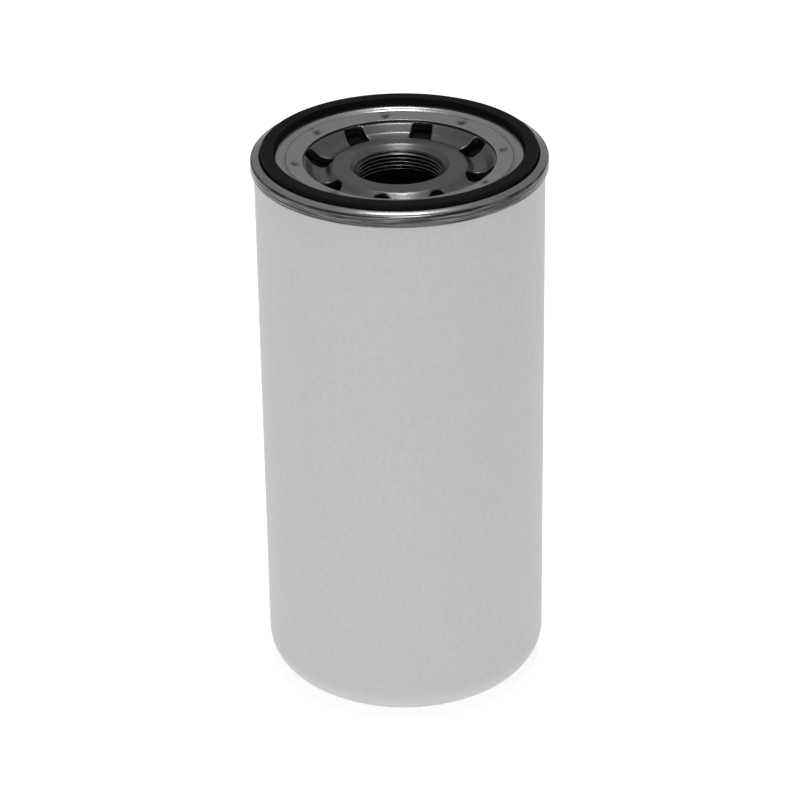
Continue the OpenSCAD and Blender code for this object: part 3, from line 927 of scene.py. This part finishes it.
def cage_patches():
    """Bypass cage: lower sleeve, four windows, and a rounded lid with a guide hole for the stem."""
    low, high = heights("bypass_cage")
    radius, count, per_side = 14.3, 4, 16
    z0, z1 = low + 4.4, high - 3.6
    patches = pierced_cells(radius, SHEET_T, z0, z1, count, math.radians(45), window_hole(4.9, 6), per_side)
    columns = count * per_side
    inner = radius - SHEET_T
    sleeve = path([[radius, z0], [radius, low], [inner, low], [inner, z0]])
    lid = path([[radius, z1]], arc((radius - 1.5, high - 1.5), 1.5, 0, 90, 6), [[3.4, high], [3.4, high - SHEET_T]],
               arc((inner - 0.8, high - 1.5), 0.8, 90, 0, 5), [[inner, z1]])
    return patches + [turned(spaced(p, 2), columns) for p in (sleeve, lid)]


def seat_outline():
    """Bypass valve's seat: flat crown round its hole, rounded shoulder, wall and foot flange."""
    low, crown = heights("bypass_seat")
    face = path([[8, crown]], arc((12.55, crown - 1), 1, 90, 0, 6), arc((13.85, low + 1.0), 0.3, 180, 270, 4),
                [[16.6, low + SHEET_T]])
    return anticlockwise(sheet(spaced(face, 1.5), SHEET_T))


def poppet_outline():
    """Poppet: riveted button, valve disc with a turned-up rim bead, and a guided stem with a chamfered tip."""
    low, tip = heights("bypass_poppet")
    disc = float(high_mm("bypass_seal")[2]) + 0.01
    return anticlockwise(path(
        [[0, low]], arc((4.4, low + 0.6), 0.6, -90, 0, 5), [[5, low + 1.25], [3, low + 1.25], [3, disc]],
        arc((11.6, disc + 0.3), 0.3, -90, 0, 3), arc((11.6, disc + 0.6), 0.3, 0, 90, 3),
        [[3.6, disc + 0.9]], arc((3.5, disc + 1.4), 0.5, 270, 180, 3), [[3, tip - 0.5], [2.5, tip], [0, tip]]))


def coil_patch(mean_r, wire_r, z0, z1, turns):
    """Coil spring: a circle of the wire's radius carried along a helix whose end turns lie flat and are ground."""
    steps, sides = int(turns * 72), 20
    u = np.linspace(0, 1, steps + 1)
    # The share of the wire in each flat end, how fast it climbs there, and its share of the height
    end, slow = 0.14, 0.25
    low = end * slow
    climb = (1 - 2 * low) / (1 - 2 * end)
    lift = np.where(u < end, slow * u, np.where(u > 1 - end, 1 - slow * (1 - u), low + (u - end) * climb))
    smooth = np.convolve(np.pad(lift, 8, mode="edge"), np.ones(17) / 17, mode="valid")
    centre_z = z0 + wire_r + (z1 - z0 - 2 * wire_r) * smooth
    a, b = TAU * turns * u[:, None], np.linspace(0, TAU, sides, endpoint=False)[None, :]
    taper = np.ones(len(u))
    taper[[0, -1]] = 0
    taper = taper[:, None]
    r = mean_r + taper * wire_r * np.cos(b)
    z = centre_z[:, None] + taper * wire_r * np.sin(b)
    return cylindrical(r, a, np.clip(z, z0, z1)), False, True


def half_pleat(count, out_r, in_r, t):
    """Middle line of half a pleat: outer fold, flank and inner fold, joined by their common tangent."""
    fold_out, fold_in, half = 1.2, 0.65, np.pi / count
    c1 = np.array([out_r - t / 2 - fold_out, 0])
    c2 = (in_r + t / 2 + fold_in) * np.array([math.cos(half), math.sin(half)])
    d = c2 - c1
    lean = math.degrees(math.atan2(d[1], d[0]) - math.acos((fold_out + fold_in) / np.hypot(*d)))
    normal = np.array([math.cos(math.radians(lean)), math.sin(math.radians(lean))])
    return path(arc(c1, fold_out, 0, lean, 5), spaced(path(c1 + fold_out * normal, c2 - fold_in * normal), 4.2),
                arc(c2, fold_in, lean + 180, math.degrees(half) + 180, 4))


def paper_patch():
    """Pleated paper: the pleat's middle line, repeated round the axis and given half the paper's thickness each
    way, carried up Z with each flank bowed a little by its own slow wave."""
    count, t = sizes().pleats, 0.7
    low, high = heights("filter_media")
    out_r, in_r, half = 50.5, 23.7, np.pi / count
    one = half_pleat(count, out_r, in_r, t)
    r, a = np.hypot(*one.T), np.arctan2(one[:, 1], one[:, 0])
    r = np.concatenate([r, r[-2:0:-1]])
    a = np.concatenate([a, 2 * half - a[-2:0:-1]])
    pleat = np.arange(count)[:, None]
    angle = (a[None, :] + 2 * half * pleat).ravel()
    radius = np.tile(r, count)
    middle = np.stack([radius * np.cos(angle), radius * np.sin(angle)], 1)
    along = np.roll(middle, -1, 0) - np.roll(middle, 1, 0)
    side = np.stack([along[:, 1], -along[:, 0]], 1) / np.hypot(*along.T)[:, None]
    z = np.linspace(low, high, 22)
    dice = np.random.default_rng(7)
    phase = np.repeat(dice.uniform(0, TAU, count), len(r))
    on_flank = np.sin(np.pi * np.clip((radius - in_r) / (out_r - in_r), 0, 1)) ** 2
    between_caps = np.sin(np.pi * (z - low) / (high - low))
    wave = 0.16 * on_flank[:, None] * between_caps * np.cos(z / 17 + phase[:, None])
    outside = middle[:, None] + side[:, None] * (t / 2 + wave)[..., None]
    inside = middle[:, None] + side[:, None] * (wave - t / 2)[..., None]
    loop = np.concatenate([outside, inside[:, ::-1]], 1)
    height = np.broadcast_to(np.r_[z, z[::-1]], loop.shape[:2])
    return np.concatenate([loop, height[..., None]], -1), True, True


def clip_patches():
    """Seam clip: a U section round one outer fold, carried up Z, its legs pinched in at even steps. Each end face
    is a strip between the section's outer and inner lines."""
    low, high = low_mm("media_clip"), high_mm("media_clip")
    x0, x1, half, wall = low[0], high[0], high[1], 0.45
    outer = path([[x0, half]], arc((x1 - 0.6, half - 0.6), 0.6, 90, 0, 4), arc((x1 - 0.6, 0.6 - half), 0.6, 0, -90, 4),
                 [[x0, -half]])
    inner = path([[x0, wall - half]], arc((x1 - 0.7, 0.7 - half), 0.25, -90, 0, 3),
                 arc((x1 - 0.7, half - 0.7), 0.25, 0, 90, 3), [[x0, half - wall]])
    section = np.concatenate([outer, inner])
    z = np.linspace(low[2], high[2], 121)[:, None]
    legs = section[:, 0] < x1 - 2
    pinch = 1 - 0.03 * np.cos(z / 9 * TAU) * legs - 0.03 * legs
    grid = np.stack([section[:, 0] + 0 * z, section[:, 1] * pinch, z + 0 * section[:, 0]], -1)
    count = len(section) // 2
    ends = [(np.stack([ring[:count], ring[count:][::-1]]), False, False) for ring in (grid[0], grid[-1])]
    return [(grid, False, True), *ends]


def spiral_bead_patch():
    """Hot-melt bead wound round the pleats: a flattened circle carried along a shallow helix that sags a little
    between folds and stops either side of the seam clip."""
    low, high = np.array(heights("pleat_beads")) + [0.6, -0.6]
    gap, patches, rings = 0.06, [], 6
    u = np.linspace(0, 1, 449)[:, None]
    a = gap + (TAU - 2 * gap) * u
    b = np.linspace(0, TAU, 10, endpoint=False)[None, :]
    taper = np.sqrt(np.clip(1 - (2 * u - 1) ** 40, 0, 1))
    for k in range(rings):
        z = low + (high - low) * (k / (rings - 1)) + 0.5 * np.sin(a * 2 + k)
        drop = 0.12 * (1 - np.cos(sizes().pleats * a)) / 2
        r = 51.08 - drop + 0.55 * taper * np.cos(b)
        patches.append((cylindrical(r, a, z + 0.6 * taper * np.sin(b)), False, True))
    return patches


# ---- Operators: one for each piece or group of like pieces ----


class BuildStep:
    """Shared by the operators below, whose build methods make the pieces"""

    def execute(self, context):
        self.build(context)
        return {"FINISHED"}


class MakeMaterials(BuildStep, bpy.types.Operator):
    """Make the finishes and the node groups that they share"""

    bl_idname = "oil_filter.materials"
    bl_label = "Finishes"

    def build(self, context):
        build_materials()


class MakeCan(BuildStep, bpy.types.Operator):
    """Make the drawn can and the sealing bead inside its seam"""

    bl_idname = "oil_filter.can"
    bl_label = "Can"

    def build(self, context):
        make_piece("drawn_can", [spin(can_outline(), sizes().segments)], "housing", ["can"],
                   "Can paint")
        make_piece("seam_bead", [spin(bead_outline(), 192)], "housing", ["seam_compound"],
                   "Sealing compound")


class MakeLid(BuildStep, bpy.types.Operator):
    """Make the seaming lid with its gasket groove, rolled seam and weld marks"""

    bl_idname = "oil_filter.lid"
    bl_label = "Seaming lid"

    def build(self, context):
        outline = lid_outline()
        loop = spaced(np.r_[outline, outline[:1]], 0.5)[:-1]
        make_piece("rolled_lid", [spin(loop, 576, weld_relief(sizes().weld_depth))], "housing", ["seaming_lid"],
                   "Lid steel", burn_and_painted_shade=lid_burn_and_painted_shade)


class MakePlate(BuildStep, bpy.types.Operator):
    """Make the threaded base plate with its inlet slots"""

    bl_idname = "oil_filter.plate"
    bl_label = "Base plate"

    def build(self, context):
        columns = 2 * BORDER_STEPS * SLOTS
        patches = [plate_sector(SECTOR * k) for k in range(SLOTS)]
        patches += [plate_hub(columns), plate_flange(columns)]
        make_piece("threaded_plate", patches, "housing", ["base_plate"], "Plate steel",
                   burn_and_painted_shade=plate_painted_shade)


class MakeGasket(BuildStep, bpy.types.Operator):
    """Make the mounting gasket"""

    bl_idname = "oil_filter.gasket"
    bl_label = "Mounting gasket"

    def build(self, context):
        make_piece("face_gasket", [spin(spaced(gasket_outline(), 1.0), 360)], "housing", ["mounting_gasket"],
                   "Gasket rubber")


class MakeDrainbackValve(BuildStep, bpy.types.Operator):
    """Make the anti-drainback valve: thick collar, thin skirt and round lip, turned as one piece"""

    bl_idname = "oil_filter.drainback_valve"
    bl_label = "Anti-drainback valve"

    def build(self, context):
        valve = make_piece("lip_valve", [spin(spaced(valve_outline(), 0.8), 288)], None, ["drainback_valve"],
                           "Valve rubber")
        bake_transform(valve)


class MakeEndCaps(BuildStep, bpy.types.Operator):
    """Make the element's end caps, potting and neck grommet"""

    bl_idname = "oil_filter.end_caps"
    bl_label = "End caps"

    def build(self, context):
        top_z = high_mm("top_potting")[2] + SHEET_T / 2
        ribs = pressed_ribs(top_z, 30, 47, 8, 0.55)
        make_piece("upper_cap", [spin(top_cap_outline(), 384, ribs)], "element", ["top_end_cap"],
                   "Cap steel")
        make_piece("lower_cap", [spin(bottom_cap_outline(), 384)], "element", ["bottom_end_cap"],
                   "Cap steel")
        for name, node, up in (("upper_potting", "top_potting", False), ("lower_potting", "bottom_potting", True)):
            make_piece(name, [potting_patch(node, up)], "element", [node], "Potting")
        make_piece("neck_grommet", [spin(spaced(grommet_outline(), 0.8), 216)], "element", ["element_grommet"],
                   "Valve rubber")


class MakeMedia(BuildStep, bpy.types.Operator):
    """Make the pleated paper, its seam clip and its spacing beads"""

    bl_idname = "oil_filter.media"
    bl_label = "Pleated paper"

    def build(self, context):
        make_piece("pleated_paper", [paper_patch()], "element", ["filter_media"],
                   "Filter paper")
        make_piece("seam_clip", clip_patches(), "element", ["media_clip"], "Plated steel")
        make_piece("spacing_beads", spiral_bead_patch(), "element", ["pleat_beads"],
                   "Glue bead", closed=False)


class MakeCentreTube(BuildStep, bpy.types.Operator):
    """Make the perforated centre tube"""

    bl_idname = "oil_filter.centre_tube"
    bl_label = "Centre tube"

    def build(self, context):
        make_piece("perforated_tube", tube_patches(), "element", ["center_tube"],
                   "Phosphated steel")


class MakeBypass(BuildStep, bpy.types.Operator):
    """Make the bypass valve: seat, cage, poppet, seal and spring"""

    bl_idname = "oil_filter.bypass"
    bl_label = "Bypass valve"

    def build(self, context):
        make_piece("valve_seat", [spin(seat_outline(), 192)], "element", ["bypass_seat"],
                   "Cap steel")
        make_piece("valve_cage", cage_patches(), "element", ["bypass_cage"], "Cap steel")
        make_piece("valve_poppet", [spin(spaced(poppet_outline(), 1.2), 144)], "bypass_valve", ["bypass_poppet"],
                   "Plated steel")
        low, high = heights("bypass_seal")
        ring = path([[3.05, low + 0.1], [3.15, low], [11.2, low]], arc((11.2, low + 0.3), 0.3, -90, 0, 4),
                    arc((11.2, high - 0.3), 0.3, 0, 90, 4), [[3.15, high], [3.05, high - 0.1]])
        make_piece("disc_seal", [spin(anticlockwise(ring), 144)], "bypass_valve", ["bypass_seal"],
                   "Valve rubber")
        low, high = heights("bypass_spring")
        spring = make_piece("bypass_coil", [coil_patch(6.2, 0.65, low, high, 6)], "element", ["bypass_spring"],
                            "Spring wire")
        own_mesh(spring)


class MakeLoadSpring(BuildStep, bpy.types.Operator):
    """Make the spring that presses the element up, and its locating cup"""

    bl_idname = "oil_filter.load_spring"
    bl_label = "Element spring"

    def build(self, context):
        make_piece("spring_cup", [spin(spring_cup_outline(), 192)], "housing", ["spring_seat"],
                   "Plated steel")
        low, high = heights("element_spring")
        spring = make_piece("load_coil", [coil_patch(19.3, 1.4, low, high, 3.5)], "housing", ["element_spring"],
                            "Spring wire")
        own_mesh(spring)


def area_light(name, location, target, size, power):
    """A square soft light that faces its target."""
    data = bpy.data.lights.new(name, "AREA")
    data.shape, data.size, data.energy = "SQUARE", size, power
    light = bpy.data.objects.new(name, data)
    bpy.context.scene.collection.objects.link(light)
    light.location = location
    light.rotation_mode = "QUATERNION"
    light.rotation_quaternion = (Vector(target) - Vector(location)).to_track_quat("-Z", "Y")


class MakeStage(BuildStep, bpy.types.Operator):
    """Make the pale floor, the soft lights, the surroundings and the camera"""

    bl_idname = "oil_filter.stage"
    bl_label = "Stage"

    def build(self, context):
        scene = context.scene
        settings = scene.filter_stage
        mesh = bpy.data.meshes.new("floor")
        reach = 6.0
        mesh.from_pydata([(-reach, -reach, 0), (reach, -reach, 0), (reach, reach, 0), (-reach, reach, 0)], [],
                         [(0, 1, 2, 3)])
        floor = bpy.data.objects.new("floor", mesh)
        scene.collection.objects.link(floor)
        tree, shader = material("Floor")
        shader.inputs["Specular IOR Level"].default_value = 0.0
        feed(tree, shader, Base_Color=(0.9, 0.9, 0.9, 1), Roughness=0.9, Emission_Color=(1, 1, 1, 1),
             Emission_Strength=0.5)
        mesh.materials.append(bpy.data.materials["Floor"])
        turn = Matrix.Rotation(settings.azimuth, 4, "Z")
        area_light("overhead", turn @ Vector((0.0, -0.05, 1.9)), (0, 0, 0.1), 0.5, 11)
        area_light("front", turn @ Vector((-0.5, -2.6, 1.2)), (0, 0, 0.12), 1.2, 10)
        surroundings(scene)
        add_camera(scene, settings, turn)
        scene.view_settings.view_transform = "Standard"


def surroundings(scene):
    """World light: a grey wall all round that brightens overhead."""
    world = bpy.data.worlds.new("Studio")
    scene.world = world
    world.use_nodes = True
    tree = world.node_tree
    tree.nodes.clear()
    where = add(tree, "ShaderNodeTexCoord").outputs["Generated"]
    up = add(tree, "ShaderNodeSeparateXYZ", {0: where}).outputs[2]
    tone = ramp(tree, up, 0.0, 0.9, 0.4, 0.46)
    shade = add(tree, "ShaderNodeBackground", {"Color": (1, 1, 1, 1), "Strength": tone})
    output = tree.nodes.new("ShaderNodeOutputWorld")
    tree.links.new(shade.outputs[0], output.inputs[0])


def add_camera(scene, settings, turn):
    """Camera at its distance and height, turned by yaw, tilted down by pitch and rolled about its line of sight."""
    data = bpy.data.cameras.new("camera")
    data.lens, data.sensor_width = settings.lens, 36
    camera = bpy.data.objects.new("camera", data)
    scene.collection.objects.link(camera)
    tilt = Matrix.Rotation(math.pi / 2 - settings.pitch, 4, "X")
    roll = Matrix.Rotation(settings.roll, 4, "Z")
    place_at = Matrix.Translation((0, -settings.distance, settings.height))
    yaw = Matrix.Rotation(settings.yaw, 4, "Z")
    camera.matrix_world = turn @ place_at @ yaw @ tilt @ roll
    scene.camera = camera


class OilFilterPanel(bpy.types.Panel):
    """Lists the oil filter's build steps in order"""

    bl_idname = "VIEW3D_PT_oil_filter"
    bl_label = "Oil filter"
    bl_space_type = "VIEW_3D"
    bl_region_type = "UI"
    bl_category = "Oil filter"

    def draw(self, context):
        layout = self.layout
        for group_name in ("filter_sizes", "filter_colours", "filter_stage"):
            settings = getattr(context.scene, group_name)
            column = layout.column()
            for name in settings.__annotations__:
                column.prop(settings, name)
        for step in STEPS:
            layout.operator(step.bl_idname)


SETTINGS = {"filter_sizes": FilterSizes, "filter_colours": FilterColours, "filter_stage": StageSettings}
STEPS = (MakeMaterials, MakeCan, MakeLid, MakePlate, MakeGasket, MakeDrainbackValve, MakeEndCaps, MakeMedia,
         MakeCentreTube, MakeBypass, MakeLoadSpring, MakeStage)
CLASSES = (*SETTINGS.values(), *STEPS, OilFilterPanel)


def register():
    for cls in CLASSES:
        bpy.utils.register_class(cls)
    for name, cls in SETTINGS.items():
        setattr(bpy.types.Scene, name, PointerProperty(type=cls))


def unregister():
    for name in SETTINGS:
        delattr(bpy.types.Scene, name)
    for cls in reversed(CLASSES):
        bpy.utils.unregister_class(cls)


def main():
    register()
    for step in STEPS:
        area, name = step.bl_idname.split(".")
        getattr(getattr(bpy.ops, area), name)()


if __name__ == "__main__":
    main()
